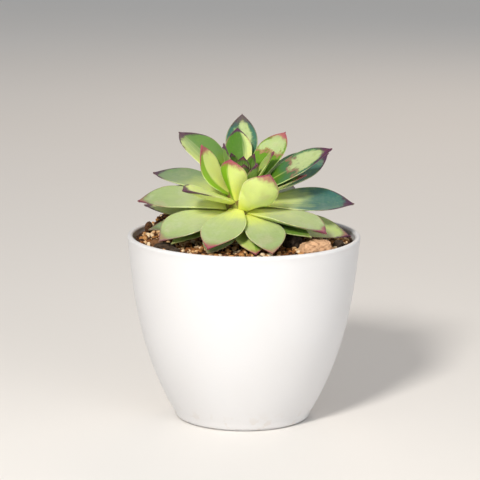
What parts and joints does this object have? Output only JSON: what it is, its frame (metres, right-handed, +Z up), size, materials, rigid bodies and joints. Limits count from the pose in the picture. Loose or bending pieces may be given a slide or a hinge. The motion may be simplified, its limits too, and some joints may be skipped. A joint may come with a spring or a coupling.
{
  "type": "potted echeveria",
  "caption": "Small succulent with a leaning rosette of pointed, pink-tipped fleshy leaves, standing in gritty soil in a plain white tapering pot.",
  "frame": {"origin": "middle of the pot's flat underside, on the surface it stands on", "axes": "+Z up along the pot's axis, -Y to the front, towards which the rosette leans, +X to the viewer's right"},
  "size_m": [0.11, 0.11, 0.1418],
  "materials": {
    "pot": "smooth satin white",
    "soil": "loose tan and brown grit with dark gaps",
    "outer_leaf": "waxy and powdery, pale green with dark pink edge and tip",
    "middle_leaf": "waxy and powdery, blue-green with purple edge and tip",
    "inner_leaf": "waxy, yellow-green with pink tip",
    "heart_leaf": "waxy, yellow-green, darker between the crowded leaves",
    "tan_stone": "rough",
    "dark_stone": "rough",
    "brown_stone": "rough"
  },
  "bodies": {
    "root": {"pot": "pot", "soil": "soil", "stem_and_heart": "heart_leaf", "leaf_lower_01": "outer_leaf", "leaf_lower_02": "outer_leaf", "leaf_lower_03": "outer_leaf", "leaf_lower_04": "outer_leaf", "leaf_lower_05": "outer_leaf", "leaf_lower_06": "outer_leaf", "leaf_lower_07": "outer_leaf", "leaf_lower_08": "outer_leaf", "leaf_lower_09": "outer_leaf", "leaf_lower_10": "outer_leaf", "leaf_middle_01": "middle_leaf", "leaf_middle_02": "middle_leaf", "leaf_middle_03": "middle_leaf", "leaf_middle_04": "middle_leaf", "leaf_middle_05": "middle_leaf", "leaf_middle_06": "middle_leaf", "leaf_middle_07": "middle_leaf", "leaf_middle_08": "middle_leaf", "leaf_under_01": "outer_leaf", "leaf_under_02": "outer_leaf", "leaf_under_03": "outer_leaf", "leaf_under_04": "outer_leaf", "leaf_under_05": "outer_leaf", "leaf_under_06": "outer_leaf", "leaf_under_07": "outer_leaf", "leaf_under_08": "outer_leaf", "leaf_under_09": "outer_leaf", "leaf_under_10": "outer_leaf", "leaf_under_11": "outer_leaf", "leaf_upper_01": "inner_leaf", "leaf_upper_02": "inner_leaf", "leaf_upper_03": "inner_leaf", "leaf_upper_04": "inner_leaf", "leaf_upper_05": "inner_leaf", "leaf_upper_06": "inner_leaf", "bark_chip": "brown_stone", "pebble_back": "brown_stone", "pebble_left_1": "dark_stone", "pebble_left_2": "brown_stone", "pebble_right_1": "brown_stone", "pebble_right_2": "dark_stone", "stone_dark_front": "dark_stone", "stone_dark_left": "dark_stone", "stone_large_tan": "tan_stone"}
  },
  "joints": []
}
